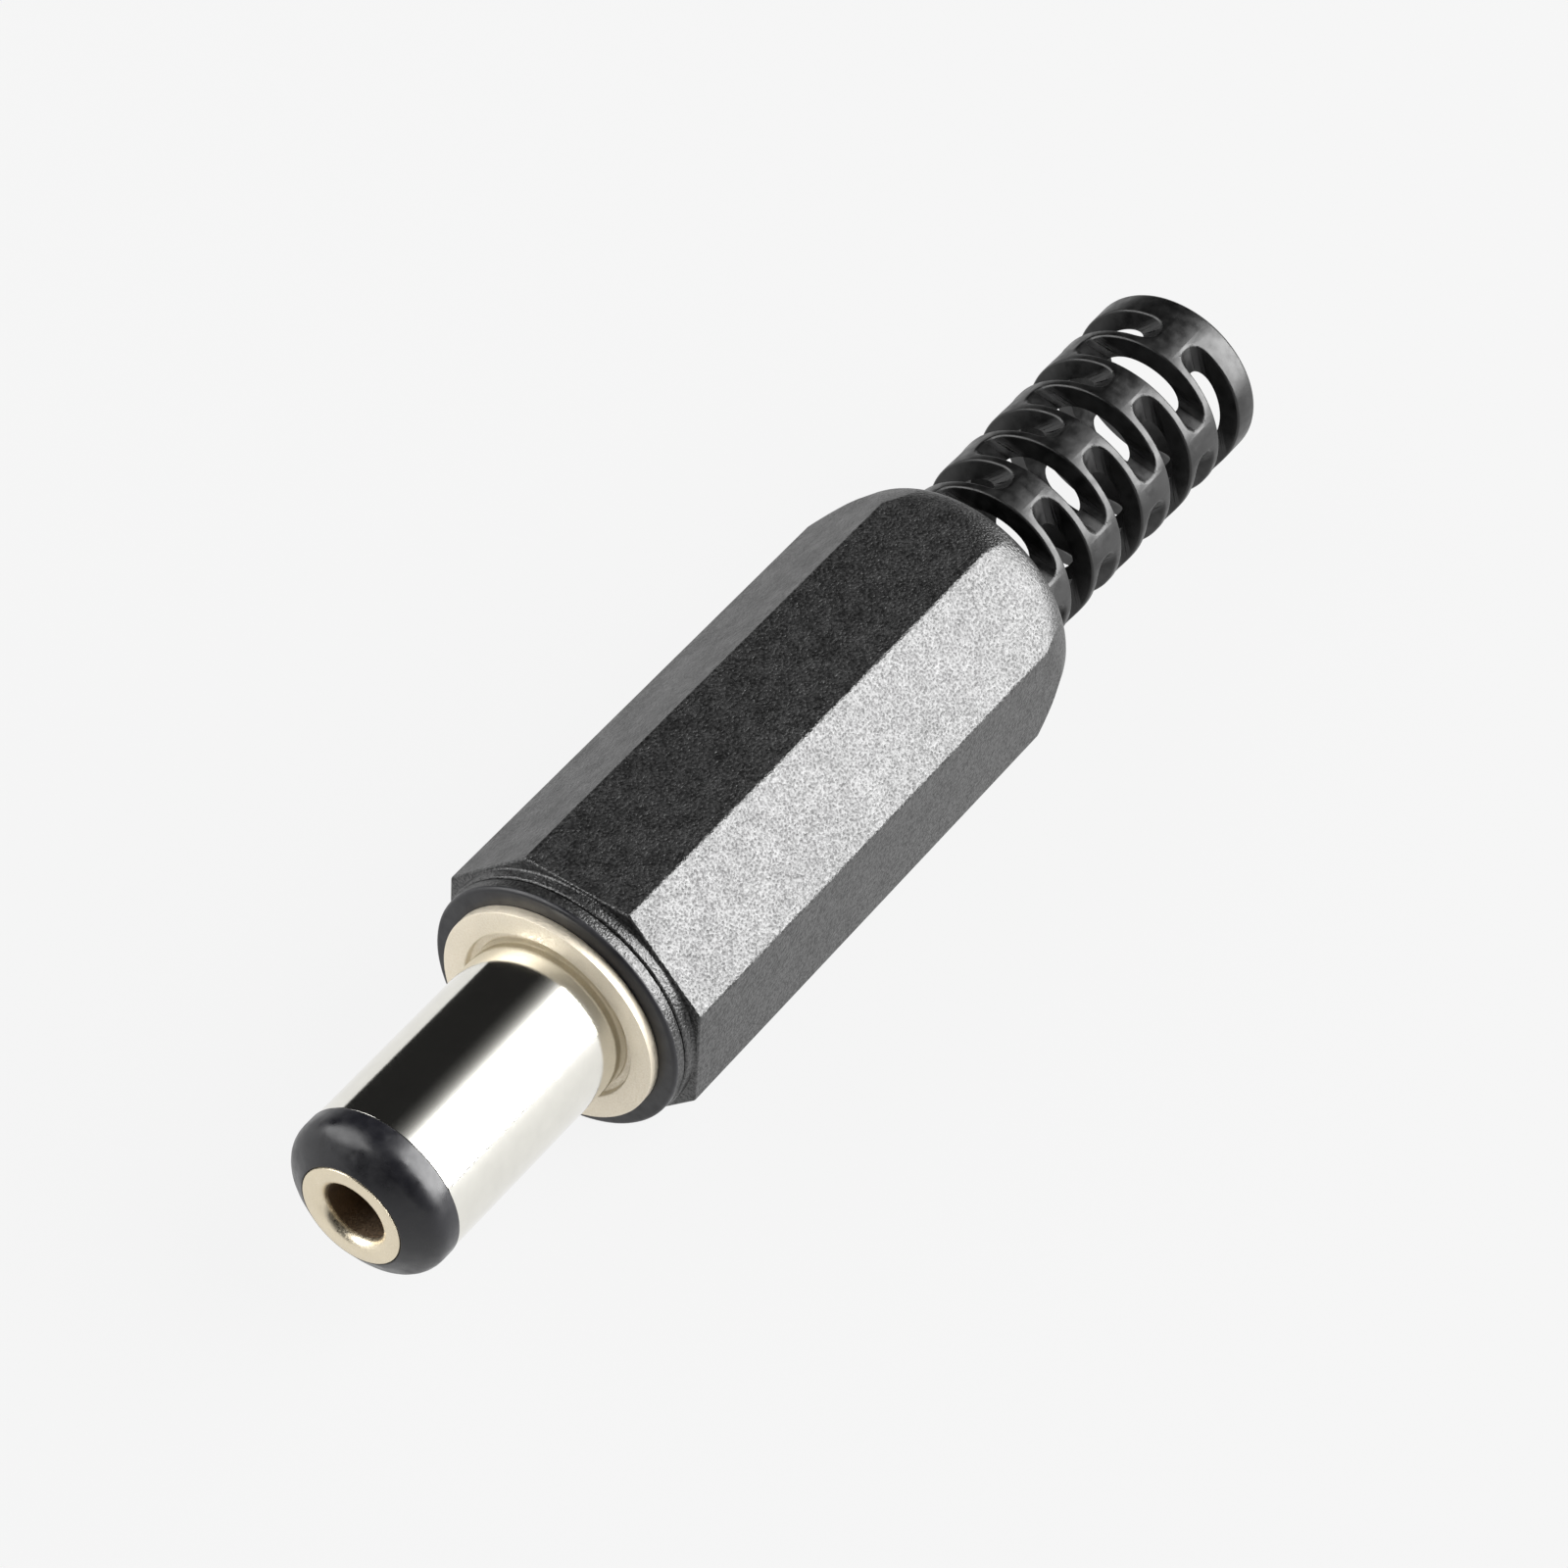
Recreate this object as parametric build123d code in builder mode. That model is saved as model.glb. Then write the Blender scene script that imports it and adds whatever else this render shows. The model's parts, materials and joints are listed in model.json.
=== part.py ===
from build123d import *
from math import cos, pi
import os

# Solder-type power plug, 5.5 mm outside and 2.1 mm inside, in millimetres.
# The plug lies on one flat of its octagonal cover. Its axis is the X axis, with
# the mating end towards +X, and X is zero at the front face of the metal flange.

# Mating end
barrel_diameter = 5.5
barrel_wall = 0.55
plug_reach = 9.5
nose_length = 1.5
nose_swell = 0.03
nose_land = 0.06
nose_recess = 0.05
pin_bore_diameter = 2.1
pin_bore_depth = 11.0
mouth_flare = 0.27
mouth_depth = 0.3
contact_wall = 0.4
contact_head_overhang = 0.3
contact_head_length = 0.45
insulation_gap = 0.02

# Flange of the outer contact, with the hub at the foot of the barrel
flange_width = 1.05
flange_thickness = 0.4
flange_edge_chamfer = 0.06
hub_width = 0.24
hub_height = 0.6
groove_width = 0.14
groove_depth = 0.12

# Base that carries the contacts and the cover's thread
press_gap = 0.02
base_wall = 0.93
collar_length = 0.45
collar_chamfer = 0.22
collar_setback = 0.15
stub_length = 6.35
stub_chamfer = 0.3
swage_lip = 0.2
swage_thickness = 0.3

# Cover, which screws on to the stub
thread_clearance = 0.08
thread_run_out = 0.8
cover_wall = 0.77
facets = 8
facet_edge_round = 0.15
front_edge_chamfer = 0.1
seam = 0.05
rim_setback = 0.1
rim_length = 0.4
grip_length = 18.7
shoulder_length = 2.3
shoulder_taper_length = 2.1
shoulder_taper_drop_share = 0.457
shoulder_round_share = 0.73
shoulder_lip = 0.15
cavity_step = 0.18
cavity_past_grip = 0.2
cavity_cone_length = 1.3

# Bend relief, a tube with rows of three slots, each row turned to face the last one's bridges
cable_channel_diameter = 4.9
relief_wall = 0.69
relief_end_chamfer = 0.14
row_count = 8
row_pitch = 1.483
first_land = 0.04
end_ring_length = 0.95
slots_in_row = 3
first_slot_turn = -11.0
slot_width = 1.45
slot_root_width = 0.88
slot_root_height = 1.92

# Solder terminals and the washer between them
strip_thickness = 0.35
strap_setback = 0.35
strap_angle = 46.0
strap_to_cavity_end = 3.2
strap_hole_diameter = 1.2
strap_hole_from_ring = 3.6
claw_length = 2.4
claw_angle = 220.0
washer_setback = 0.35
washer_thickness = 0.6
stem_shoulder = 0.65
stem_head_overhang = 0.4
stem_head_length = 0.3
tip_disc_setback = 0.7
tip_tab_width = 1.8
tip_tab_length = 4.0
tip_tab_hole_diameter = 0.9

overrun = 1.0

# Places along the axis, from the mating end rearwards
tip_front = plug_reach
head_seat = tip_front - contact_head_length
bore_bottom = tip_front - pin_bore_depth
nose_front = tip_front - nose_recess
nose_back = nose_front - nose_length
flange_back = -flange_thickness
collar_back = flange_back - collar_length
stub_back = collar_back - stub_length
strap_ring_back = stub_back - strip_thickness
swage_back = strap_ring_back - swage_thickness
washer_back = swage_back - washer_thickness
tip_disc_back = washer_back - strip_thickness
stem_back = tip_disc_back - stem_head_length
rim_front = collar_back - seam
grip_front = rim_front - rim_length
grip_back = grip_front - grip_length
taper_back = grip_back - shoulder_taper_length
shoulder_back = grip_back - shoulder_length
first_row = shoulder_back - first_land - slot_width / 2
last_row = first_row - (row_count - 1) * row_pitch
relief_back = last_row - slot_width / 2 - end_ring_length
thread_back = stub_back - thread_run_out
cavity_back = grip_back - cavity_past_grip
channel_front = cavity_back - cavity_cone_length

# Radii, from the bore of the inner contact outwards
contact_bore_radius = pin_bore_diameter / 2
mouth_radius = contact_bore_radius + mouth_flare
contact_radius = contact_bore_radius + contact_wall
contact_head_radius = contact_radius + contact_head_overhang
stem_radius = contact_radius - stem_shoulder
stem_head_radius = stem_radius + stem_head_overhang
barrel_radius = barrel_diameter / 2
barrel_inner_radius = barrel_radius - barrel_wall
insulator_radius = barrel_inner_radius - insulation_gap
insulator_bore_radius = contact_radius + insulation_gap
head_seat_radius = contact_head_radius + insulation_gap
nose_radius = barrel_radius + nose_swell
nose_round = nose_radius - head_seat_radius - nose_land
hub_radius = barrel_radius + hub_width
groove_radius = hub_radius + groove_width
flange_radius = barrel_radius + flange_width
swage_radius = barrel_radius + swage_lip
washer_radius = swage_radius - washer_setback
tip_disc_radius = washer_radius - tip_disc_setback
base_bore_radius = barrel_radius + press_gap
stub_radius = base_bore_radius + base_wall
strap_outer_radius = stub_radius - strap_setback
strap_inner_radius = strap_outer_radius - strip_thickness
thread_radius = stub_radius + thread_clearance
cavity_radius = thread_radius - cavity_step
flat_radius = thread_radius + cover_wall
corner_radius = flat_radius / cos(pi / facets)
rim_radius = flat_radius - rim_setback
collar_radius = flat_radius - collar_setback
channel_radius = cable_channel_diameter / 2
relief_radius = channel_radius + relief_wall
shoulder_end_radius = relief_radius + shoulder_lip
shoulder_drop = corner_radius - shoulder_end_radius
taper_radius = corner_radius - shoulder_drop * shoulder_taper_drop_share
shoulder_round = shoulder_drop * shoulder_round_share

profile_plane = Plane.XZ

os.makedirs("parts", exist_ok=True)


# Outer contact: barrel, hub, flange and the rear lip swaged over its terminal
with BuildPart() as barrel_sleeve:
    with BuildSketch(profile_plane) as sleeve_section:
        Polygon(
            (swage_back, barrel_inner_radius),
            (nose_back, barrel_inner_radius),
            (nose_back, barrel_radius),
            (hub_height, barrel_radius),
            (0, hub_radius),
            (-groove_depth, hub_radius),
            (-groove_depth, groove_radius),
            (0, groove_radius),
            (0, flange_radius),
            (flange_back, flange_radius),
            (flange_back, barrel_radius),
            (strap_ring_back, barrel_radius),
            (strap_ring_back, swage_radius),
            (swage_back, swage_radius),
            align=None,
        )
        chamfer(sleeve_section.vertices().group_by(Axis.Y)[-1], flange_edge_chamfer)
    revolve(axis=Axis.X)
barrel_sleeve.part.label = "barrel_sleeve"
export_step(barrel_sleeve.part, "parts/barrel_sleeve.step")


# Insulating tube between the contacts, with the rounded nose in front of the barrel
with BuildPart() as tip_insulator:
    with BuildSketch(profile_plane) as insulator_section:
        with BuildLine():
            bow = JernArc(
                (nose_front - nose_round, nose_radius), (1, 0), nose_round, -90)
            Polyline(
                bow @ 1,
                (nose_front, head_seat_radius),
                (head_seat, head_seat_radius),
                (head_seat, insulator_bore_radius),
                (swage_back, insulator_bore_radius),
                (swage_back, insulator_radius),
                (nose_back, insulator_radius),
                (nose_back, nose_radius),
                bow @ 0,
            )
        make_face()
    revolve(axis=Axis.X)
tip_insulator.part.label = "tip_insulator"
export_step(tip_insulator.part, "parts/tip_insulator.step")


# Inner contact: bored in front, with a stem behind that is headed over its terminal
drill_point = bore_bottom - contact_bore_radius / 2
with BuildPart() as tip_contact:
    with BuildSketch(profile_plane) as contact_section:
        Polygon(
            (stem_back, 0),
            (drill_point, 0),
            (bore_bottom, contact_bore_radius),
            (tip_front - mouth_depth, contact_bore_radius),
            (tip_front, mouth_radius),
            (tip_front, contact_head_radius),
            (head_seat, contact_head_radius),
            (head_seat, contact_radius),
            (swage_back, contact_radius),
            (swage_back, stem_radius),
            (tip_disc_back, stem_radius),
            (tip_disc_back, stem_head_radius),
            (stem_back, stem_head_radius),
            align=None,
        )
    revolve(axis=Axis.X)
tip_contact.part.label = "tip_contact"
export_step(tip_contact.part, "parts/tip_contact.step")


# Base: smooth round collar in front, round stub behind for the cover's thread
with BuildPart() as plug_base:
    with BuildSketch(profile_plane) as base_section:
        Polygon(
            (stub_back, base_bore_radius),
            (flange_back, base_bore_radius),
            (flange_back, collar_radius),
            (collar_back, collar_radius),
            (collar_back, stub_radius),
            (stub_back, stub_radius),
            align=None,
        )
        chamfer(base_section.vertices().group_by(Axis.X)[-1].sort_by(Axis.Y)[-1], collar_chamfer)
        chamfer(base_section.vertices().group_by(Axis.X)[0].sort_by(Axis.Y)[-1], stub_chamfer)
    revolve(axis=Axis.X)
plug_base.part.label = "plug_base"
export_step(plug_base.part, "parts/plug_base.step")


# Cover: octagonal grip with a turned shoulder, a round rim and the slotted bend relief
blade_reach = relief_radius + overrun
slot_step = 360 / slots_in_row
with BuildPart() as cover:
    with BuildSketch(Plane.YZ.offset(shoulder_back)) as octagon:
        RegularPolygon(corner_radius, facets, rotation=180 / facets)
        fillet(octagon.vertices(), facet_edge_round)
    extrude(amount=grip_front - shoulder_back)
    chamfer(cover.faces().sort_by(Axis.X)[-1].edges(), front_edge_chamfer)
    with BuildSketch(profile_plane) as shoulder_section:
        with BuildLine():
            shoulder = FilletPolyline(
                (grip_back, corner_radius),
                (taper_back, taper_radius),
                (shoulder_back, shoulder_end_radius),
                radius=shoulder_round,
            )
            Polyline(
                shoulder @ 1,
                (shoulder_back - overrun, shoulder_end_radius),
                (shoulder_back - overrun, corner_radius + overrun),
                (grip_back, corner_radius + overrun),
                shoulder @ 0,
            )
        make_face()
    revolve(axis=Axis.X, mode=Mode.SUBTRACT)
    with BuildSketch(profile_plane) as round_ends_section:
        with Locations((grip_front, 0)):
            Rectangle(2 * rim_length, rim_radius, align=(Align.CENTER, Align.MIN))
        with Locations((shoulder_back, 0)):
            Rectangle(shoulder_back - relief_back, relief_radius, align=(Align.MAX, Align.MIN))
    revolve(axis=Axis.X)
    chamfer(cover.faces().sort_by(Axis.X)[0].edges(), relief_end_chamfer)
    with BuildSketch(profile_plane) as inside_section:
        Polygon(
            (rim_front + overrun, 0),
            (rim_front + overrun, thread_radius),
            (thread_back, thread_radius),
            (thread_back, cavity_radius),
            (cavity_back, cavity_radius),
            (channel_front, channel_radius),
            (relief_back - overrun, channel_radius),
            (relief_back - overrun, 0),
            align=None,
        )
    revolve(axis=Axis.X, mode=Mode.SUBTRACT)
    for row in range(row_count):
        row_place = first_row - row * row_pitch
        row_turn = first_slot_turn + slot_step / 2 * (row % 2)
        for slot in range(slots_in_row):
            with BuildSketch(profile_plane.rotated((row_turn + slot_step * slot, 0, 0))):
                Polygon(
                    (row_place - slot_root_width / 2, slot_root_height),
                    (row_place + slot_root_width / 2, slot_root_height),
                    (row_place + slot_width / 2, relief_radius),
                    (row_place + slot_width / 2, blade_reach),
                    (row_place - slot_width / 2, blade_reach),
                    (row_place - slot_width / 2, relief_radius),
                    align=None,
                )
            extrude(amount=blade_reach, both=True, mode=Mode.SUBTRACT)
cover.part.label = "cover"
export_step(cover.part, "parts/cover.step")


# Terminal of the outer contact: ring, curved strap with a solder hole, cable claws
strap_end = cavity_back + strap_to_cavity_end
claw_front = strap_end + claw_length
strap_front = strap_ring_back + strip_thickness / 2
strap_hole_place = strap_ring_back - strap_hole_from_ring
with BuildPart() as sleeve_terminal:
    with BuildSketch(profile_plane) as ring_section:
        Polygon(
            (stub_back, base_bore_radius),
            (stub_back, strap_outer_radius),
            (strap_ring_back, strap_outer_radius),
            (strap_ring_back, base_bore_radius),
            align=None,
        )
    revolve(axis=Axis.X)
    with BuildSketch(profile_plane.rotated((-strap_angle / 2, 0, 0))) as strap_section:
        Polygon(
            (strap_front, strap_inner_radius),
            (strap_front, strap_outer_radius),
            (strap_end, strap_outer_radius),
            (strap_end, strap_inner_radius),
            align=None,
        )
    revolve(axis=Axis.X, revolution_arc=strap_angle)
    with BuildSketch(profile_plane.rotated((-claw_angle / 2, 0, 0))) as claw_section:
        Polygon(
            (claw_front, strap_inner_radius),
            (claw_front, strap_outer_radius),
            (strap_end, strap_outer_radius),
            (strap_end, strap_inner_radius),
            align=None,
        )
    revolve(axis=Axis.X, revolution_arc=claw_angle)
    with BuildSketch(Plane.XY) as strap_hole:
        with Locations((strap_hole_place, 0)):
            Circle(strap_hole_diameter / 2)
    extrude(amount=strap_outer_radius + overrun, mode=Mode.SUBTRACT)
sleeve_terminal.part.label = "sleeve_terminal"
export_step(sleeve_terminal.part, "parts/sleeve_terminal.step")


# Insulating washer between the two terminals
with BuildPart() as rear_insulator:
    with BuildSketch(Plane.YZ.offset(washer_back)) as washer:
        Circle(washer_radius)
        Circle(stem_radius + insulation_gap, mode=Mode.SUBTRACT)
    extrude(amount=washer_thickness)
rear_insulator.part.label = "rear_insulator"
export_step(rear_insulator.part, "parts/rear_insulator.step")


# Terminal of the inner contact: disc with a tab bent rearwards, round-ended and pierced
tab_end = washer_back - tip_tab_length
tab_run = tip_tab_length - tip_tab_width / 2
with BuildPart() as tip_terminal:
    with BuildSketch(Plane.YZ.offset(tip_disc_back)) as tip_disc:
        Circle(tip_disc_radius)
        Circle(stem_radius + insulation_gap, mode=Mode.SUBTRACT)
        with Locations((0, -tip_disc_radius)):
            Rectangle(tip_tab_width, strip_thickness, align=(Align.CENTER, Align.MIN))
    extrude(amount=strip_thickness)
    with BuildSketch(Plane.XY.offset(-tip_disc_radius)) as tip_tab:
        with Locations((tab_end + tip_tab_width / 2, 0)):
            Circle(tip_tab_width / 2)
            Rectangle(tab_run, tip_tab_width, align=(Align.MIN, Align.CENTER))
            Circle(tip_tab_hole_diameter / 2, mode=Mode.SUBTRACT)
    extrude(amount=strip_thickness)
tip_terminal.part.label = "tip_terminal"
export_step(tip_terminal.part, "parts/tip_terminal.step")
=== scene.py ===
import json
import math

import bpy
from bpy.props import FloatProperty, FloatVectorProperty, IntProperty, PointerProperty
from mathutils import Matrix, Vector

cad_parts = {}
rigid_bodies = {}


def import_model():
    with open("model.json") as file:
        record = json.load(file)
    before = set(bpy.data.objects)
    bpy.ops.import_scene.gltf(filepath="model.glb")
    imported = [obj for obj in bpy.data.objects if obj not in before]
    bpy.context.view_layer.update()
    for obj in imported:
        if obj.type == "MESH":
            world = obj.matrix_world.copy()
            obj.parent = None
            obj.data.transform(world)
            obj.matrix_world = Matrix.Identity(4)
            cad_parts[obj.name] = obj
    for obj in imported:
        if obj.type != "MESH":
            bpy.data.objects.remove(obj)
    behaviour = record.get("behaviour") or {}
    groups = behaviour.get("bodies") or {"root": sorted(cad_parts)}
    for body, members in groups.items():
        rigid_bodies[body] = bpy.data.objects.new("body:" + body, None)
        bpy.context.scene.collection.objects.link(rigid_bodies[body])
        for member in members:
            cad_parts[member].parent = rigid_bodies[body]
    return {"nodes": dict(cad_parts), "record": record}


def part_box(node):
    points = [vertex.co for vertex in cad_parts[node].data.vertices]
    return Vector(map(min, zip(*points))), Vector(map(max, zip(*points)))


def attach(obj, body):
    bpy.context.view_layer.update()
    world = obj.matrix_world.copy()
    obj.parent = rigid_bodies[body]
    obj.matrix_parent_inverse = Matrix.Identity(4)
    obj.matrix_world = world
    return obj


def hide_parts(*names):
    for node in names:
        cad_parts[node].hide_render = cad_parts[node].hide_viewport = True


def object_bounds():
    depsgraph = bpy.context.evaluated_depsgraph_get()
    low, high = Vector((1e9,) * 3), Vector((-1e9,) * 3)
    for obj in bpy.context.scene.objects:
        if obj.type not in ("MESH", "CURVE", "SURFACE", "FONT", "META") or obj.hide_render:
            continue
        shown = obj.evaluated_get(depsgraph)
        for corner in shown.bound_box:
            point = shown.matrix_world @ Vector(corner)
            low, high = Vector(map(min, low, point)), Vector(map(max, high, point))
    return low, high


bl_info = {
    "name": "Barrel plug dressing",
    "version": (1, 0, 0),
    "blender": (4, 5, 0),
    "location": "3D View > Sidebar > Barrel plug",
    "description": "Finishes the barrel plug's pieces and sets the stage for its picture",
    "category": "Object",
}

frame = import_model()
CAD_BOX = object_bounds()

MM = 0.001
ORIGIN = Vector((0, 0, 0))
PLUG_AXIS = Vector((1, 0, 0))
MERGE = MM * 1e-4
MOUNTS = {mount["name"]: mount for mount in frame["record"]["mounts"]}
BARREL_RADIUS = MOUNTS["barrel"]["dims"]["r_mm"]
PIN_BORE_RADIUS = MOUNTS["centre_bore"]["dims"]["r_mm"]
CHANNEL_RADIUS = MOUNTS["cable_outlet"]["dims"]["r_mm"]

# Small roundings, in millimetres
TIGHT_ROUND = 0.02
GROOVE_ROUND = 0.06
FLANGE_ROUND = 0.03
SWAGE_ROUND = 0.1
NOSE_RING_ROUND = 0.03
NOSE_BACK_ROUND = 0.06
HEAD_ROUND = 0.05
RIVET_ROUND = 0.12
NECK_ROUND = 0.1
STUB_END_ROUND = 0.05
SHOULDER_END_ROUND = 0.06
RELIEF_FOOT_ROUND = 0.08
OUTLET_ROUND = 0.12
CHANNEL_ROUND = 0.3
CAVITY_ROUND = 0.4

# Clearances, margins and overlaps, in millimetres
SEAT_GAP = 0.02
FACE_MARGIN = 0.02
BORE_FACE_MARGIN = 0.01
SIDE_FACE_MARGIN = 0.03
OUTER_EDGE_MARGIN = 0.14
RIDGE_FOOT = 0.05
RIDGE_TOP = 0.04
ENVELOPE_OVERRUN = 0.3
BODY_OVERRUN = 0.5

# Lengths of the drill point that ends the pin bore, and of the prism that cuts the grip
BORE_POINT = 0.6
OCTAGON_LENGTH = 120

# How the meshes are made
LONGEST_ROUND_SHARE = 0.49
ROUND_STEPS = 7
THREAD_STEPS = 48
FLANK_SHARE = 0.42
LAND_SHARE = 0.1
OCTAGON_SIDES = 8
FLAT_FACE_WEIGHT = 80

# The camera, fitted to the photograph: place in millimetres, directions, lens
CAMERA_PLACE = Vector((92.593, 64.165, 131.420))
CAMERA_RIGHT = Vector((-0.56783, 0.82147, 0.05247))
CAMERA_BACK = Vector((0.58200, 0.35559, 0.73132))
CAMERA_LENS = 134.16
CAMERA_SENSOR = 36

# Where the barrel mirrors what the camera sees: along the axis, and out from it
MIRROR_ALONG = -CAMERA_BACK.x
MIRROR_OUT = math.hypot(CAMERA_BACK.y, CAMERA_BACK.z)

# Directions of the small card in front, from the plug and along its width
FRONT_CARD_SIDE = (0.42, -0.72, 0.55)
FRONT_CARD_ACROSS = (0.86, 0.5, 0)

# The fading card keeps the same share of its light over each such step outwards
FEATHER_STEP = math.radians(6)

# Ranges that a noise texture is read in, and what gloss and roughness they give
NOISE_SPAN = (0.3, 0.7)
FLECK_SPAN = (0.35, 0.7)
SPARKLE_SPAN = (0.45, 1.15)
SHEEN_SHARES = (0.7, 1.4)
PLASTIC_IOR = 1.5


def node_box(node):
    """A CAD node's lowest and highest corner, in millimetres."""
    low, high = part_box(node)
    return Vector(low) / MM, Vector(high) / MM


def length(name, description, default):
    """A size given in millimetres, kept in metres."""
    return FloatProperty(name=name, description=description, default=default * MM, unit="LENGTH")


def stage_length(name, description, default):
    """A size of the stage, given and kept in metres."""
    return FloatProperty(name=name, description=description, default=default, unit="LENGTH")


def degrees(name, description, default):
    """An angle given in degrees, kept in radians."""
    return FloatProperty(
        name=name, description=description, default=math.radians(default), subtype="ANGLE")


def brightness(name, description, default):
    return FloatProperty(name=name, description=description, default=default, min=0)


def colour(name, description, default):
    return FloatVectorProperty(
        name=name, description=description, default=default, subtype="COLOR", min=0, max=1)


class PlugSizes(bpy.types.PropertyGroup):
    """Sizes of the turned, moulded and threaded detail."""

    turned_steps: IntProperty(
        name="Turned steps", description="Facets round a turned piece", default=144, min=24)
    edge_round: length("Edge round", "Rounding of the edges of a turned piece", 0.04)
    barrel_wall: length("Barrel wall", "Wall of the metal barrel", 0.55)
    groove_width: length("Groove width", "Groove in the flange round the barrel's foot", 0.27)
    groove_depth: length("Groove depth", "Depth of that groove", 0.27)
    flange_thickness: length("Flange thickness", "Thickness of the metal flange", 0.4)
    swage_length: length("Swage length", "Length of the lip swaged over the terminal", 0.3)
    swage_lip: length("Swage lip", "How far the swaged lip stands out", 0.2)
    nose_land: length("Nose land", "Flat ring of the nose round the tip contact", 0.04)
    nose_slope: length("Nose slope", "Length of the nose's sloping front", 0.6)
    nose_round: length("Nose round", "Rounding between the nose's front and its side", 1.4)
    contact_wall: length("Contact wall", "Wall of the tip contact's tube", 0.4)
    head_length: length("Head length", "Length of the tip contact's wider head", 0.45)
    mouth_round: length("Mouth round", "Rounding of the mouth of the pin bore", 0.5)
    bore_depth: length("Bore depth", "Depth of the bore for the socket's pin", 11)
    stem_shoulder: length("Stem shoulder", "How much the contact narrows to its stem", 0.65)
    rivet_length: length("Rivet length", "Length of the riveted end of the stem", 0.3)
    rivet_overhang: length("Rivet overhang", "How far the riveted end stands out", 0.4)
    collar_length: length("Collar length", "Length of the base's round collar", 0.48)
    collar_round: length("Collar round", "Rounding of the collar's front edge", 0.13)
    stub_radius: length("Stub radius", "Radius over the crests of the base's thread", 3.695)
    stub_chamfer: length("Stub chamfer", "Chamfer at the end of the threaded stub", 0.3)
    thread_pitch: length("Thread pitch", "Pitch of the base's and the cover's thread", 0.75)
    thread_depth: length("Thread depth", "Depth of the thread", 0.32)
    thread_run_out: length("Thread run-out", "Plain neck between collar and thread", 0.5)


class CoverSizes(bpy.types.PropertyGroup):
    """Sizes of the cover with its octagonal grip and its bend relief."""

    turned_steps: IntProperty(
        name="Turned steps", description="Facets round the cover's turned faces", default=120,
        min=24)
    seam_turn: degrees("Seam turn", "Turn of those facets, so that no slot ends on a seam", 2.5)
    flat: length("Flat", "Distance of the grip's flats from the axis", 4.55)
    long_edge_round: length("Long edge round", "Rounding of the grip's eight long edges", 0.16)
    edge_round: length("Edge round", "Rounding of the moulded edges", 0.075)
    rim_radius: length("Rim radius", "Radius of the round rim in front of the grip", 4.45)
    rim_length: length("Rim length", "Length of the rim", 0.4)
    bore_radius: length("Bore radius", "Radius of the bore over the thread", 3.78)
    bore_depth: length("Bore depth", "Depth of that bore", 7.1)
    cavity_radius: length("Cavity radius", "Radius of the wiring space", 3.6)
    cavity_back: length("Cavity back", "Where the wiring space ends", -20.2)
    channel_front: length("Channel front", "Where the cable channel begins", -21.5)
    grip_back: length("Grip back", "Where the grip begins to taper", -20)
    corner_radius: length("Corner radius", "Distance of the grip's corners from the axis", 4.925)
    taper_back: length("Taper back", "Where the taper turns into the shoulder's end", -22.1)
    taper_radius: length("Taper radius", "Radius at the end of the taper", 4.178)
    shoulder_back: length("Shoulder back", "Where the shoulder ends and the relief begins", -22.3)
    shoulder_radius: length("Shoulder radius", "Radius at the shoulder's end", 3.29)
    shoulder_round: length("Shoulder round", "Rounding of the shoulder", 1.19)
    relief_radius: length("Relief radius", "Radius over the bend relief", 3.14)
    relief_end_round: length("Relief end round", "Rounding of the relief's last ring", 0.2)
    row_count: IntProperty(name="Rows", description="Rows of slots", default=8, min=1)
    row_pitch: length("Row pitch", "Distance from one row of slots to the next", 1.483)
    first_row: length("First row", "Place of the first row of slots", -23.065)
    slots_in_row: IntProperty(
        name="Slots in a row", description="Slots in one row", default=3, min=1)
    first_slot_turn: degrees("First slot turn", "Turn of the first slot of the first row", -11)
    slot_root_height: length("Slot root height", "Distance of a slot's floor from the axis", 1.976)
    slot_root_width: length("Slot root width", "Width of a slot at its floor", 0.98)
    slot_root_round: length("Slot root round", "Rounding of a slot's floor", 0.47)
    slot_width: length("Slot width", "Width of a slot at the top of its blade", 1.38)
    blade_reach: length("Blade reach", "Half length of the blade that cuts a slot", 3.0)
    blade_top: length("Blade top", "How far a blade's top is from the axis", 3.7)


class PlugFinish(bpy.types.PropertyGroup):
    """Colours and grain of the plug's materials."""

    cover_colour: colour("Cover colour", "Black of the moulded cover", (0.001, 0.001, 0.001))
    cover_fleck: colour("Cover fleck", "Lighter flecks in the cover's grain", (0.01, 0.01, 0.01))
    grain_size: length("Grain size", "Size of the grain on the grip", 0.085)
    grain_depth: length("Grain depth", "Depth of the grain on the grip", 0.028)
    base_colour: colour("Base colour", "Black of the collar and the nose", (0.004, 0.004, 0.0055))
    barrel_colour: colour("Barrel colour", "Bright plating of the barrel", (0.84, 0.825, 0.765))
    flange_colour: colour("Flange colour", "Satin plating of the flange", (0.86, 0.79, 0.66))
    contact_colour: colour("Contact colour", "Plating of the tip contact", (0.81, 0.72, 0.55))
    # Painted shade: this darker colour for the inside of the pin bore stands in for the shade in
    # the bore
    bore_shade_colour: colour("Bore colour", "Dull plating inside the tip contact", (0.3, 0.22, 0.15))
    terminal_colour: colour("Terminal colour", "Tin plate of the terminals", (0.72, 0.70, 0.65))
    washer_colour: colour("Washer colour", "Fibre board of the washer", (0.16, 0.09, 0.05))


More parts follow.
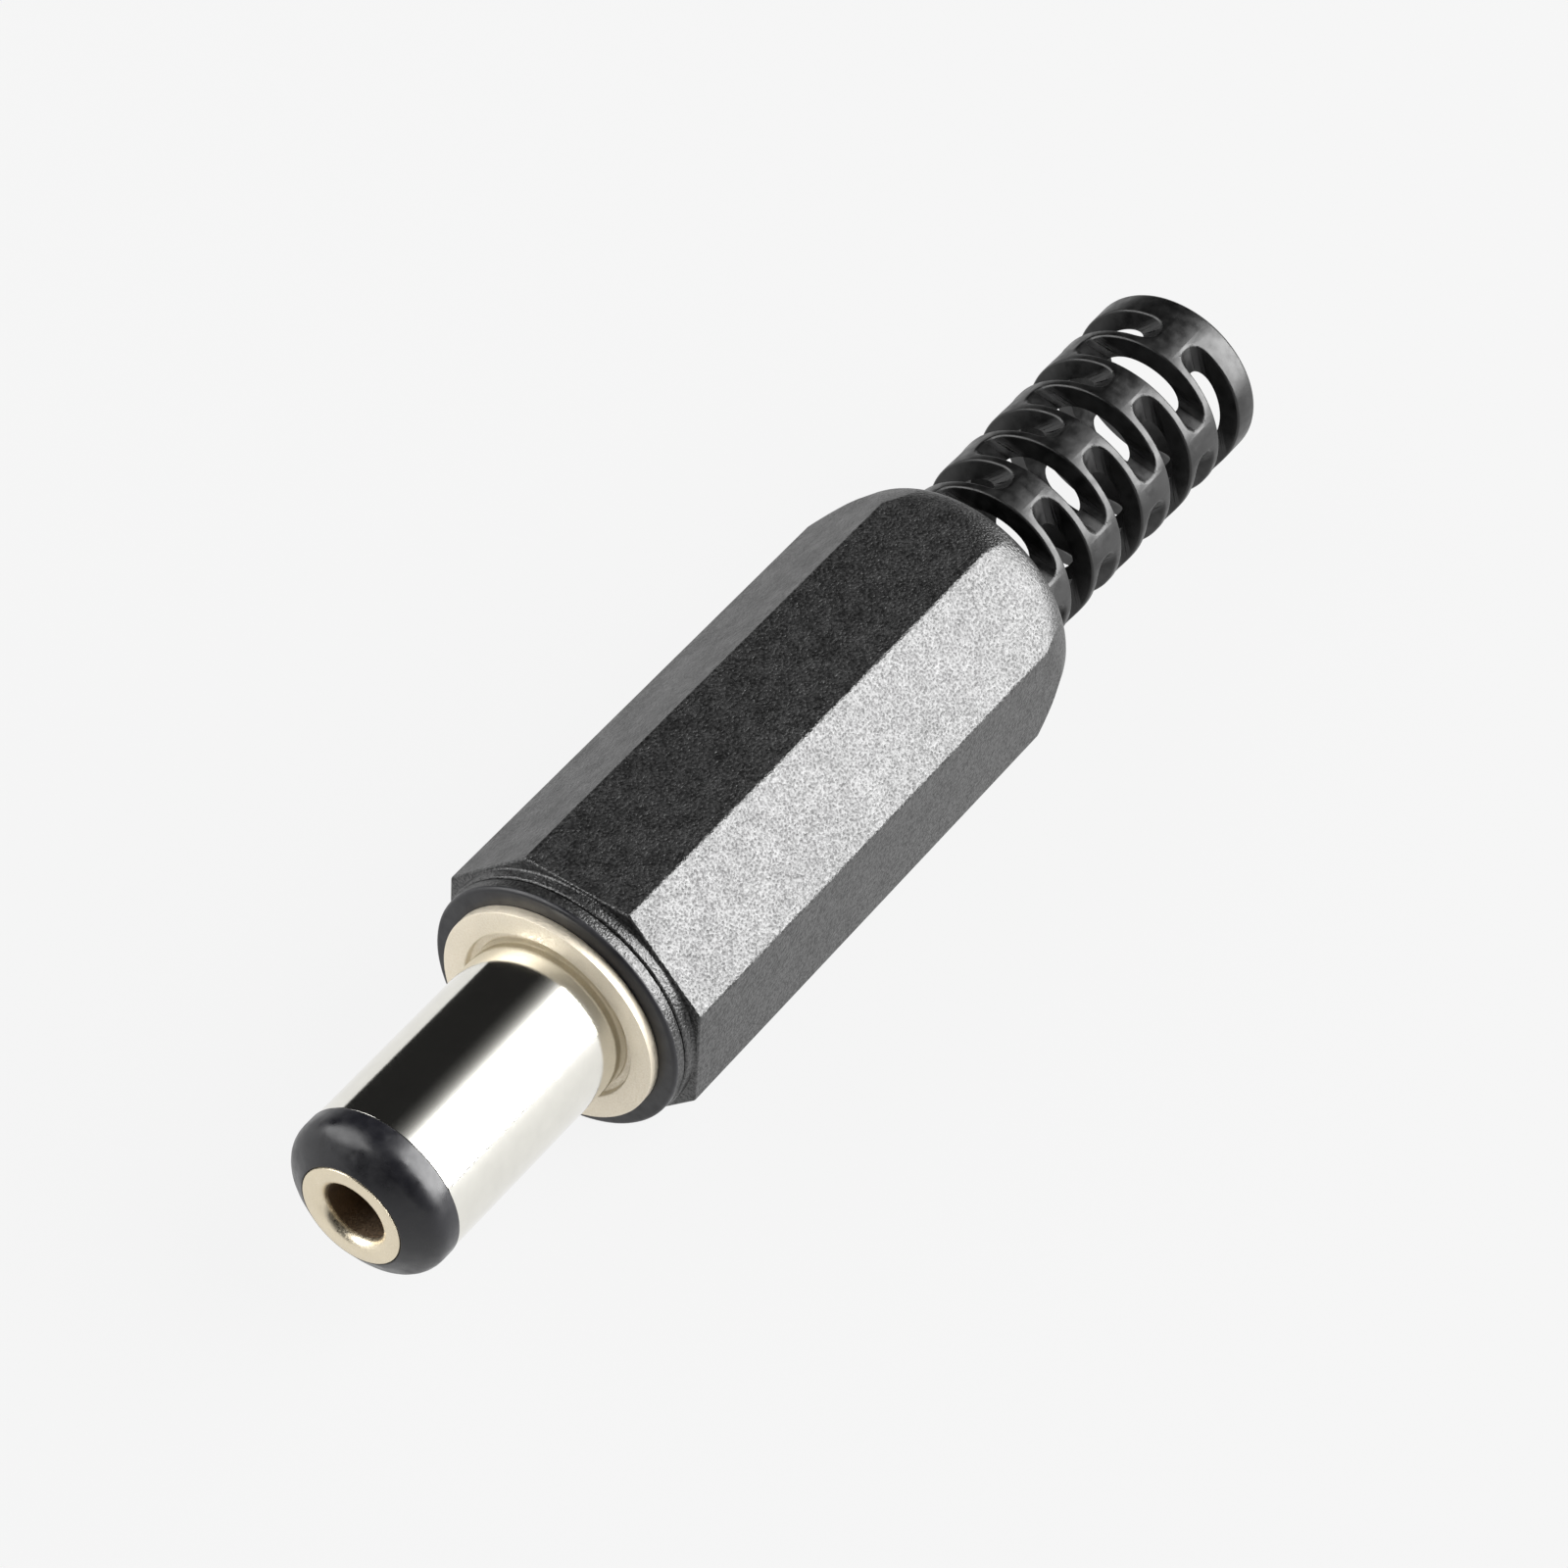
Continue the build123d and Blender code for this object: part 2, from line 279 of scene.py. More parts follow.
class StageSettings(bpy.types.PropertyGroup):
    """The floor, the lights and the camera."""

    floor_size: stage_length("Floor size", "Width and depth of the floor", 8)
    floor_colour: colour("Floor colour", "What the floor gives back of the lights", (0.01,) * 3)
    floor_glow: brightness("Floor glow", "Even light that makes the floor pale", 0.885)
    softbox_radiance: brightness("Softbox radiance", "Brightness of the large softbox", 11.5)
    softbox_width: stage_length("Softbox width", "Width of the large softbox", 0.6)
    softbox_height: stage_length("Softbox height", "Height of the large softbox", 0.585)
    softbox_distance: stage_length("Softbox distance", "Its distance from the plug", 0.5)
    softbox_turn: degrees("Softbox turn", "From straight above to the right", 51.7)
    feather_radiance: brightness("Feather radiance", "Brightest part of the fading card", 2.1)
    feather_fall: FloatProperty(
        name="Feather fall", description="What is left of it six degrees further out",
        default=0.44, min=0, max=1)
    feather_width: stage_length("Feather width", "Width of the fading card", 0.4)
    feather_turn: degrees("Feather turn", "Turn of its middle from straight above", -1)
    feather_half: degrees("Feather half", "Angle from its middle to its edge", 18)
    front_card_radiance: brightness("Front card radiance", "Brightness of the card in front", 5)
    front_card_width: stage_length("Front card width", "Width of the card in front", 0.5)
    front_card_height: stage_length("Front card height", "Height of the card in front", 0.45)
    front_card_distance: stage_length("Front card distance", "Its distance from the plug", 0.5)
    surroundings: colour("Surroundings", "Dim light of the room", (0.018, 0.018, 0.018))


# Mesh tools

def settings(group):
    return getattr(bpy.context.scene, group)


def millimetres(group, *names):
    """Values of a group's lengths, in millimetres."""
    return [getattr(settings(group), name) / MM for name in names]


def deselect_all():
    if bpy.context.mode != "OBJECT":
        bpy.ops.object.mode_set(mode="OBJECT")
    bpy.ops.object.select_all(action="DESELECT")


def select_only(piece):
    deselect_all()
    piece.select_set(True)
    bpy.context.view_layer.objects.active = piece


def apply_modifier(piece, kind, **values):
    select_only(piece)
    modifier = piece.modifiers.new(kind.title(), kind)
    for key, value in values.items():
        setattr(modifier, key, value)
    bpy.ops.object.modifier_apply(modifier=modifier.name)


def combine(piece, tool, operation):
    """Boolean of a piece with a tool, which is then thrown away."""
    apply_modifier(piece, "BOOLEAN", object=tool, operation=operation, solver="EXACT")
    select_only(tool)
    bpy.ops.object.delete()


def rounded(corners, edge_round):
    """A closed section's corners (x, radius, round) as points, with each corner rounded."""
    points = []
    for index, corner in enumerate(corners):
        here = Vector(corner[:2])
        before = Vector(corners[index - 1][:2]) - here
        after = Vector(corners[(index + 1) % len(corners)][:2]) - here
        wanted = corner[2] if len(corner) > 2 else edge_round
        if wanted == 0 or here.y == 0:
            points.append(here)
            continue
        half = before.angle(after) / 2
        longest = LONGEST_ROUND_SHARE * min(before.length, after.length)
        reach = min(wanted / math.tan(half), longest)
        radius = reach * math.tan(half)
        centre = here + (before.normalized() + after.normalized()).normalized() * (
            radius / math.sin(half))
        start = here + before.normalized() * reach - centre
        end = here + after.normalized() * reach - centre
        steps = max(2, round(math.sqrt(radius) * (math.pi - 2 * half) * ROUND_STEPS))
        for step in range(steps + 1):
            towards = start.lerp(end, step / steps).normalized()
            points.append(centre + towards * radius)
    return points


def traced_section(name, corners, edge_round):
    """A closed section given in millimetres as a wire, left selected in edit mode."""
    points = [Vector((x * MM, 0, height * MM)) for x, height in rounded(corners, edge_round)]
    deselect_all()
    bpy.ops.mesh.primitive_plane_add(size=MM, location=points[0])
    piece = bpy.context.active_object
    piece.name = name
    bpy.ops.object.transform_apply(location=True, rotation=True, scale=True)
    bpy.ops.object.mode_set(mode="EDIT")
    bpy.ops.mesh.select_all(action="SELECT")
    bpy.ops.mesh.merge(type="CENTER")
    for place, following in zip(points, points[1:] + points[:1]):
        bpy.ops.mesh.extrude_vertices_move(
            TRANSFORM_OT_translate={"value": following - place})
    bpy.ops.mesh.select_all(action="SELECT")
    bpy.ops.mesh.remove_doubles(threshold=MERGE)
    bpy.ops.mesh.select_all(action="SELECT")
    return piece


def turned_piece(name, corners, edge_round, steps, turn=0):
    """A closed section given in millimetres, turned round the plug's axis."""
    piece = traced_section(name, corners, edge_round)
    bpy.ops.mesh.spin(steps=steps, angle=math.tau, center=ORIGIN, axis=PLUG_AXIS)
    bpy.ops.mesh.select_all(action="SELECT")
    bpy.ops.mesh.remove_doubles(threshold=MERGE)
    bpy.ops.mesh.normals_make_consistent(inside=False)
    bpy.ops.object.mode_set(mode="OBJECT")
    if turn:
        turn_about_axis(piece, turn)
    return piece


def turn_about_axis(piece, turn):
    """Turns a mesh about the plug's axis, from up towards the side of -Y."""
    select_only(piece)
    piece.rotation_euler.x += turn
    bpy.ops.object.transform_apply(location=True, rotation=True, scale=True)


def helical_ridge(name, base, crest, front, back, pitch):
    """A thread's ridge from one radius to another, wound along the axis with closed ends."""
    flank = FLANK_SHARE * pitch
    land = LAND_SHARE * pitch
    ridge = traced_section(name, [
        (front - flank, base, 0), (front + flank, base, 0),
        (front + land, crest, 0), (front - land, crest, 0),
    ], 0)
    bpy.ops.object.mode_set(mode="OBJECT")
    turns = round((front - back) / pitch)
    apply_modifier(
        ridge, "SCREW", axis="X", angle=math.tau, screw_offset=-pitch * MM, iterations=turns,
        steps=THREAD_STEPS, render_steps=THREAD_STEPS, use_merge_vertices=False)
    bpy.ops.object.mode_set(mode="EDIT")
    bpy.ops.mesh.select_all(action="SELECT")
    bpy.ops.mesh.remove_doubles(threshold=MERGE)
    bpy.ops.mesh.select_all(action="SELECT")
    bpy.ops.mesh.fill_holes(sides=4)
    bpy.ops.mesh.select_all(action="SELECT")
    bpy.ops.mesh.normals_make_consistent(inside=False)
    bpy.ops.object.mode_set(mode="OBJECT")
    return ridge


def soften_outer_edges(piece, width, segments, angle, least_radius):
    """Rounds the edges sharper than an angle, in degrees, that lie outside a radius."""
    select_only(piece)
    bpy.ops.object.mode_set(mode="EDIT")
    bpy.ops.mesh.select_mode(type="EDGE")
    bpy.ops.mesh.select_all(action="DESELECT")
    bpy.ops.mesh.edges_select_sharp(sharpness=math.radians(angle))
    bpy.ops.object.mode_set(mode="OBJECT")
    radii = [from_axis(vertex.co) for vertex in piece.data.vertices]
    for edge in piece.data.edges:
        if min(radii[index] for index in edge.vertices) < least_radius:
            edge.select = False
    bpy.ops.object.mode_set(mode="EDIT")
    bpy.ops.transform.edge_bevelweight(value=1)
    bpy.ops.mesh.select_mode(type="VERT")
    bpy.ops.object.mode_set(mode="OBJECT")
    apply_modifier(
        piece, "BEVEL", width=width, segments=segments, limit_method="WEIGHT",
        use_clamp_overlap=False, loop_slide=True)
    smooth(piece)


def smooth(piece, angle=40):
    """Smooth shading that leaves the wide faces flat and keeps the sharp edges."""
    select_only(piece)
    bpy.ops.object.shade_smooth_by_angle(angle=math.radians(angle))
    apply_modifier(piece, "WEIGHTED_NORMAL", keep_sharp=True, weight=FLAT_FACE_WEIGHT)


def soften_edges(piece, width, segments, angle):
    """Rounds all edges sharper than an angle, in degrees."""
    apply_modifier(
        piece, "BEVEL", width=width, segments=segments, limit_method="ANGLE",
        angle_limit=math.radians(angle), use_clamp_overlap=True)
    smooth(piece)


def copied_node(node, name):
    """A copy of a CAD node's mesh, merged and with its flat faces made whole."""
    select_only(frame["nodes"][node])
    bpy.ops.object.duplicate()
    piece = bpy.context.active_object
    bpy.ops.object.parent_clear(type="CLEAR_KEEP_TRANSFORM")
    for key in list(piece.keys()):
        del piece[key]
    piece.name = name
    bpy.ops.mesh.customdata_custom_splitnormals_clear()
    piece.data.materials.clear()
    bpy.ops.object.mode_set(mode="EDIT")
    bpy.ops.mesh.select_all(action="SELECT")
    bpy.ops.mesh.remove_doubles(threshold=MERGE)
    bpy.ops.mesh.dissolve_limited(angle_limit=math.radians(1))
    bpy.ops.object.mode_set(mode="OBJECT")
    return piece


def finish_piece(piece, body, materials, nodes):
    """Gives a piece its materials and its body, and hides the CAD nodes it stands for."""
    for material in materials:
        piece.data.materials.append(material)
    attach(piece, body)
    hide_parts(*nodes)


def from_axis(place):
    """Distance of a place from the plug's axis."""
    return math.hypot(place.y, place.z)


def assign_faces(piece, index, chosen):
    """Faces whose centre, in millimetres, satisfies the test take that material."""
    for face in piece.data.polygons:
        if chosen(face.center / MM):
            face.material_index = index


# Materials

def new_material(name):
    material = bpy.data.materials.new(name)
    material.use_nodes = True
    nodes = material.node_tree.nodes
    return material, nodes, material.node_tree.links, nodes["Principled BSDF"]


def noise(nodes, links, size, detail=2.0, roughness=0.5):
    coordinates = nodes.new("ShaderNodeTexCoord")
    texture = nodes.new("ShaderNodeTexNoise")
    texture.inputs["Scale"].default_value = 1 / size
    texture.inputs["Detail"].default_value = detail
    texture.inputs["Roughness"].default_value = roughness
    links.new(coordinates.outputs["Object"], texture.inputs["Vector"])
    return texture.outputs["Fac"]


def remap(nodes, links, value, span, new_span):
    """A value that runs over one span, made to run over another."""
    node = nodes.new("ShaderNodeMapRange")
    node.inputs["From Min"].default_value = span[0]
    node.inputs["From Max"].default_value = span[1]
    node.inputs["To Min"].default_value = new_span[0]
    node.inputs["To Max"].default_value = new_span[1]
    links.new(value, node.inputs["Value"])
    return node.outputs["Result"]


def mix_colours(nodes, links, factor, first, second):
    node = nodes.new("ShaderNodeMix")
    node.data_type = "RGBA"
    node.inputs["A"].default_value = (*first, 1)
    node.inputs["B"].default_value = (*second, 1)
    links.new(factor, node.inputs["Factor"])
    return node.outputs["Result"]


def add_bump(nodes, links, shader, height, distance, before=None):
    node = nodes.new("ShaderNodeBump")
    node.inputs["Strength"].default_value = 1.0
    node.inputs["Distance"].default_value = distance
    links.new(height, node.inputs["Height"])
    if before is not None:
        links.new(before, node.inputs["Normal"])
    links.new(node.outputs["Normal"], shader.inputs["Normal"])
    return node.outputs["Normal"]


def grained_plastic(
        name, dark, fleck, size, depth, roughness, swing=0.05, cloud_size=8, cloud_depth=0.6):
    """Black plastic with a spark-eroded grain that sparkles where it faces the light.

    The clouds' size and depth are shares of the grain's, and the roughness swings both ways.
    """
    material, nodes, links, shader = new_material(name)
    grain = noise(nodes, links, size, detail=1.0)
    cloud = noise(nodes, links, size * cloud_size)
    flecks = remap(nodes, links, grain, FLECK_SPAN, (0, 1))
    links.new(mix_colours(nodes, links, flecks, dark, fleck), shader.inputs["Base Color"])
    links.new(remap(nodes, links, grain, NOISE_SPAN, SPARKLE_SPAN),
              shader.inputs["Specular IOR Level"])
    rough_span = (roughness + swing, roughness - swing)
    links.new(remap(nodes, links, cloud, NOISE_SPAN, rough_span), shader.inputs["Roughness"])
    coarse = add_bump(nodes, links, shader, cloud, depth * cloud_depth)
    add_bump(nodes, links, shader, grain, depth, coarse)
    shader.inputs["IOR"].default_value = PLASTIC_IOR
    return material


def smooth_plastic(
        name, dark, roughness, ripple_size, ripple_depth, shine=0.5, lighter=1.7, swing=0.25):
    """Plain plastic or board with a faint unevenness, which also varies its roughness."""
    material, nodes, links, shader = new_material(name)
    cloud = noise(nodes, links, ripple_size)
    shade = tuple(channel * lighter for channel in dark)
    links.new(mix_colours(nodes, links, cloud, dark, shade), shader.inputs["Base Color"])
    rough_span = (roughness * (1 - swing), roughness * (1 + swing))
    links.new(remap(nodes, links, cloud, NOISE_SPAN, rough_span), shader.inputs["Roughness"])
    add_bump(nodes, links, shader, cloud, ripple_depth)
    shader.inputs["IOR"].default_value = PLASTIC_IOR
    shader.inputs["Specular IOR Level"].default_value = shine
    return material


def plated_metal(
        name, bright, roughness, speck_size, speck_depth, cloud_size=12, darker=0.88):
    """Plated metal with fine specks in its sheen, and clouds as many specks wide."""
    material, nodes, links, shader = new_material(name)
    specks = noise(nodes, links, speck_size, detail=3.0, roughness=0.6)
    cloud = noise(nodes, links, speck_size * cloud_size)
    shade = tuple(channel * darker for channel in bright)
    links.new(mix_colours(nodes, links, cloud, shade, bright), shader.inputs["Base Color"])
    rough_span = [roughness * share for share in SHEEN_SHARES]
    links.new(remap(nodes, links, specks, NOISE_SPAN, rough_span), shader.inputs["Roughness"])
    add_bump(nodes, links, shader, specks, speck_depth)
    shader.inputs["Metallic"].default_value = 1.0
    return material


# Operators, one for each piece or group of like pieces

class PLUG_OT_barrel(bpy.types.Operator):
    """Model the metal barrel with its flange and the groove round its foot"""

    bl_idname = "plug.barrel"
    bl_label = "Barrel and flange"

    def execute(self, context):
        finish = settings("plug_finish")
        wall, groove_width, groove_depth, thickness, swage_length, swage_lip, edge = millimetres(
            "plug_sizes", "barrel_wall", "groove_width", "groove_depth", "flange_thickness",
            "swage_length", "swage_lip", "edge_round")
        low, high = node_box("barrel_sleeve")
        outside = BARREL_RADIUS
        groove = outside + groove_width
        swage = low.x + swage_length
        corners = [
            (low.x, outside - wall), (high.x, outside - wall), (high.x, outside, TIGHT_ROUND),
            (-groove_depth, outside, GROOVE_ROUND), (-groove_depth, groove, GROOVE_ROUND),
            (0, groove, GROOVE_ROUND), (0, high.z, FLANGE_ROUND), (-thickness, high.z),
            (-thickness, outside, TIGHT_ROUND), (swage, outside, TIGHT_ROUND),
            (swage, outside + swage_lip), (low.x, outside + swage_lip, SWAGE_ROUND),
        ]
        piece = turned_piece(
            "barrel_and_flange", corners, edge, settings("plug_sizes").turned_steps)
        smooth(piece)
        bright = plated_metal(
            "bright_plating", finish.barrel_colour, roughness=0.1, speck_size=0.05 * MM,
            speck_depth=0.0007 * MM)
        satin = plated_metal(
            "satin_plating", finish.flange_colour, roughness=0.58, speck_size=0.07 * MM,
            speck_depth=0.006 * MM)
        finish_piece(piece, "plug", [bright, satin], ["barrel_sleeve"])
        assign_faces(piece, 1, lambda centre: centre.x < FACE_MARGIN)
        return {"FINISHED"}


class PLUG_OT_nose(bpy.types.Operator):
    """Model the insulating tube with its rounded nose"""

    bl_idname = "plug.nose"
    bl_label = "Insulator and nose"

    def execute(self, context):
        finish = settings("plug_finish")
        wall, contact_wall, land, slope, nose_round, head_length, edge = millimetres(
            "plug_sizes", "barrel_wall", "contact_wall", "nose_land", "nose_slope", "nose_round",
            "head_length", "edge_round")
        low, high = node_box("tip_insulator")
        contact_high = node_box("tip_contact")[1]
        barrel_front = node_box("barrel_sleeve")[1].x
        bore = PIN_BORE_RADIUS + contact_wall + SEAT_GAP
        seat = contact_high.z + SEAT_GAP
        seat_back = contact_high.x - head_length
        inner = BARREL_RADIUS - wall - SEAT_GAP
        corners = [
            (low.x, bore), (seat_back, bore, TIGHT_ROUND), (seat_back, seat, TIGHT_ROUND),
            (high.x, seat, TIGHT_ROUND), (high.x, seat + land, NOSE_RING_ROUND),
            (high.x - slope, high.z, nose_round), (barrel_front, high.z, NOSE_BACK_ROUND),
            (barrel_front, inner, TIGHT_ROUND), (low.x, inner),
        ]
        piece = turned_piece(
            "insulator_and_nose", corners, edge, settings("plug_sizes").turned_steps)
        smooth(piece)
        gloss = smooth_plastic(
            "nose_plastic", finish.base_colour, roughness=0.34, ripple_size=0.4 * MM,
            ripple_depth=0.006 * MM)
        finish_piece(piece, "plug", [gloss], ["tip_insulator"])
        return {"FINISHED"}


class PLUG_OT_tip_contact(bpy.types.Operator):
    """Model the bored contact in the tip"""

    bl_idname = "plug.tip_contact"
    bl_label = "Tip contact"

    def execute(self, context):
        finish = settings("plug_finish")
        contact_wall, head_length, mouth, depth, shoulder, rivet, overhang, edge = millimetres(
            "plug_sizes", "contact_wall", "head_length", "mouth_round", "bore_depth",
            "stem_shoulder", "rivet_length", "rivet_overhang", "edge_round")
        low, high = node_box("tip_contact")
        tube = PIN_BORE_RADIUS + contact_wall
        stem = tube - shoulder
        bore_end = high.x - depth
        point = bore_end - BORE_POINT
        head_back = high.x - head_length
        tube_back = node_box("barrel_sleeve")[0].x
        corners = [
            (low.x, 0), (point, 0), (bore_end, PIN_BORE_RADIUS),
            (high.x, PIN_BORE_RADIUS, mouth), (high.x, high.z, HEAD_ROUND),
            (head_back, high.z), (head_back, tube, TIGHT_ROUND),
            (tube_back, tube), (tube_back, stem), (low.x + rivet, stem),
            (low.x + rivet, stem + overhang), (low.x, stem + overhang, RIVET_ROUND),
        ]
        piece = turned_piece(
            "tip_contact_turned", corners, edge, settings("plug_sizes").turned_steps)
        smooth(piece)
        plating = plated_metal(
            "contact_plating", finish.contact_colour, roughness=0.36, speck_size=0.06 * MM,
            speck_depth=0.004 * MM)
        # Painted shade: the darker, duller plating inside the pin bore stands in for the shade
        # that falls in it
        shaded_bore = plated_metal(
            "bore_plating", finish.bore_shade_colour, roughness=0.5, speck_size=0.06 * MM,
            speck_depth=0.004 * MM)
        finish_piece(piece, "plug", [plating, shaded_bore], ["tip_contact"])
        # The faces inside the pin bore, short of its mouth, take that painted shade
        inside = PIN_BORE_RADIUS + BORE_FACE_MARGIN
        assign_faces(piece, 1, lambda centre: point < centre.x < high.x - mouth
                     and from_axis(centre) < inside)
        return {"FINISHED"}


class PLUG_OT_base(bpy.types.Operator):
    """Model the base with its glossy collar and its threaded stub"""

    bl_idname = "plug.base"
    bl_label = "Collar and threaded stub"

    def execute(self, context):
        finish = settings("plug_finish")
        collar, collar_round, crest, chamfer, pitch, depth, neck, edge = millimetres(
            "plug_sizes", "collar_length", "collar_round", "stub_radius", "stub_chamfer",
            "thread_pitch", "thread_depth", "thread_run_out", "edge_round")
        steps = settings("plug_sizes").turned_steps
        low, high = node_box("plug_base")
        bore = BARREL_RADIUS + SEAT_GAP
        root = crest - depth
        collar_back = high.x - collar
        core = turned_piece("collar_and_stub", [
            (low.x, bore), (high.x, bore), (high.x, high.z, collar_round),
            (collar_back, high.z), (collar_back, root, NECK_ROUND),
            (low.x, root, STUB_END_ROUND),
        ], edge, steps)
        ridge = helical_ridge(
            "thread_ridge", root - RIDGE_FOOT, crest + RIDGE_TOP,
            collar_back - neck - FLANK_SHARE * pitch, low.x - pitch, pitch)
        hollow = bore - ENVELOPE_OVERRUN
        envelope = turned_piece("thread_envelope", [
            (low.x, hollow, 0), (high.x, hollow, 0), (high.x, crest, 0),
            (low.x + chamfer, crest, 0), (low.x, crest - chamfer, 0),
        ], edge, steps)
        combine(ridge, envelope, "INTERSECT")
        combine(core, ridge, "UNION")
        smooth(core, angle=30)
        gloss = smooth_plastic(
            "collar_plastic", finish.base_colour, roughness=0.42, ripple_size=0.5 * MM,
            ripple_depth=0.008 * MM)
        grain = grained_plastic(
            "collar_grain", finish.cover_colour, finish.cover_fleck,
            finish.grain_size, finish.grain_depth, roughness=0.4)
        finish_piece(core, "plug", [gloss, grain], ["plug_base"])
        side = high.z - SIDE_FACE_MARGIN
        front = high.x - collar_round
        assign_faces(
            core, 1, lambda centre: from_axis(centre) > side and centre.x < front)
        return {"FINISHED"}


class PLUG_OT_cover(bpy.types.Operator):
    """Model the cover: octagonal grip, shoulder, round rim, bore and slotted bend relief"""

    bl_idname = "plug.cover"
    bl_label = "Cover and bend relief"

    def execute(self, context):
        finish, sizes = settings("plug_finish"), settings("cover_sizes")
        piece = self.turned_body(sizes)
        combine(piece, self.octagon(sizes), "INTERSECT")
        combine(piece, self.blades(sizes), "DIFFERENCE")
        soften_outer_edges(
            piece, sizes.edge_round, segments=3, angle=32,
            least_radius=sizes.relief_radius - OUTER_EDGE_MARGIN * MM)
        grain = grained_plastic(
            "grip_plastic", finish.cover_colour, finish.cover_fleck,
            finish.grain_size, finish.grain_depth, roughness=0.39)
        relief = smooth_plastic(
            "relief_plastic", finish.cover_colour, roughness=0.38, ripple_size=0.4 * MM,
            ripple_depth=0.008 * MM)
        matt = smooth_plastic(
            "channel_plastic", finish.cover_colour, roughness=0.7, ripple_size=0.4 * MM,
            ripple_depth=0.008 * MM, shine=0.15)
        finish_piece(piece, "cover", [grain, relief, matt], ["cover"])
        shoulder_back, channel_front = millimetres(
            "cover_sizes", "shoulder_back", "channel_front")
        inside = CHANNEL_RADIUS + FACE_MARGIN
        assign_faces(piece, 1, lambda centre: centre.x < shoulder_back)
        assign_faces(
            piece, 2, lambda centre: centre.x < channel_front and from_axis(centre) < inside)
        return {"FINISHED"}

    def turned_body(self, sizes):
        (rim_length, rim, bore, bore_depth, cavity, cavity_back, channel_front, grip_back, corner,
         taper_back, taper, shoulder_back, shoulder, shoulder_round, relief, end_round
         ) = millimetres(
            "cover_sizes", "rim_length", "rim_radius", "bore_radius", "bore_depth",
            "cavity_radius", "cavity_back", "channel_front", "grip_back", "corner_radius",
            "taper_back", "taper_radius", "shoulder_back", "shoulder_radius", "shoulder_round",
            "relief_radius", "relief_end_round")
        low, high = node_box("cover")
        rim_back = high.x - rim_length
        bore_back = high.x - bore_depth
        past_octagon = corner + BODY_OVERRUN
        corners = [
            (high.x, bore, 0), (high.x, rim, 0), (rim_back, rim, 0),
            (rim_back, past_octagon, 0), (grip_back, past_octagon, 0),
            (grip_back, corner, 0), (taper_back, taper, shoulder_round),
            (shoulder_back, shoulder, SHOULDER_END_ROUND),
            (shoulder_back, relief, RELIEF_FOOT_ROUND), (low.x, relief, end_round),
            (low.x, CHANNEL_RADIUS, OUTLET_ROUND),
            (channel_front, CHANNEL_RADIUS, CHANNEL_ROUND), (cavity_back, cavity, CAVITY_ROUND),
            (bore_back, cavity, 0), (bore_back, bore, 0),
        ]
        return turned_piece("screw_on_cover", corners, 0, sizes.turned_steps, sizes.seam_turn)

    def octagon(self, sizes):
        """The octagonal prism that the grip is cut with."""
        half_side = math.pi / OCTAGON_SIDES
        deselect_all()
        bpy.ops.mesh.primitive_cylinder_add(
            vertices=OCTAGON_SIDES, radius=sizes.flat / math.cos(half_side),
            depth=OCTAGON_LENGTH * MM, location=ORIGIN, rotation=(0, math.pi / 2, 0))
        prism = bpy.context.active_object
        bpy.ops.object.transform_apply(location=True, rotation=True, scale=True)
        turn_about_axis(prism, half_side)
        apply_modifier(
            prism, "BEVEL", width=sizes.long_edge_round * math.tan(half_side), segments=4,
            limit_method="ANGLE", angle_limit=math.radians(30))
        return prism

    def blades(self, sizes):
        """All the blades that cut the slots, as one tool."""
        blade = self.blade(sizes)
        copies = []
        for row in range(sizes.row_count):
            for slot in range(sizes.slots_in_row):
                select_only(blade)
                bpy.ops.object.duplicate()
                copy = bpy.context.active_object
                copy.location.x = sizes.first_row - row * sizes.row_pitch
                bpy.ops.object.transform_apply(location=True, rotation=True, scale=True)
                step = math.tau / sizes.slots_in_row
                turn_about_axis(
                    copy, sizes.first_slot_turn + step * slot + step / 2 * (row % 2))
                copies.append(copy)
        select_only(blade)
        bpy.ops.object.delete()
        for copy in copies:
            copy.select_set(True)
        bpy.context.view_layer.objects.active = copies[0]
        bpy.ops.object.join()
        return bpy.context.active_object

    def blade(self, sizes):
        """One blade at the axis' origin, pointing up, with a rounded edge."""
        root, root_width, width, edge, reach, top = millimetres(
            "cover_sizes", "slot_root_height", "slot_root_width", "slot_width", "slot_root_round",
            "blade_reach", "blade_top")
        blade = traced_section("blade", [
            (-root_width / 2, root, edge), (root_width / 2, root, edge),
            (width / 2, top, 0), (-width / 2, top, 0),
        ], 0)
        bpy.ops.mesh.edge_face_add()
        bpy.ops.transform.translate(value=(0, -reach * MM, 0))
        bpy.ops.mesh.extrude_region_move(
            TRANSFORM_OT_translate={"value": (0, 2 * reach * MM, 0)})
        bpy.ops.mesh.select_all(action="SELECT")
        bpy.ops.mesh.normals_make_consistent(inside=False)
        bpy.ops.object.mode_set(mode="OBJECT")
        return blade


class PLUG_OT_terminals(bpy.types.Operator):
    """Soften the stamped terminals and the washer between them"""

    bl_idname = "plug.terminals"
    bl_label = "Solder terminals and washer"

    def execute(self, context):
        finish, edge = settings("plug_finish"), settings("plug_sizes").edge_round
        tin = plated_metal(
            "terminal_plating", finish.terminal_colour, roughness=0.32, speck_size=0.08 * MM,
            speck_depth=0.004 * MM)
        board = smooth_plastic(
            "washer_board", finish.washer_colour, roughness=0.7, ripple_size=0.2 * MM,
            ripple_depth=0.01 * MM)
        for node, name, slot, material in (
                ("sleeve_terminal", "sleeve_solder_strap", "terminal_plating", tin),
                ("tip_terminal", "tip_solder_tab", "terminal_plating", tin),
                ("rear_insulator", "fibre_washer", "washer_board", board)):
            piece = copied_node(node, name)
            soften_edges(piece, edge, segments=2, angle=35)
            finish_piece(piece, "plug", [material], [node])
        return {"FINISHED"}


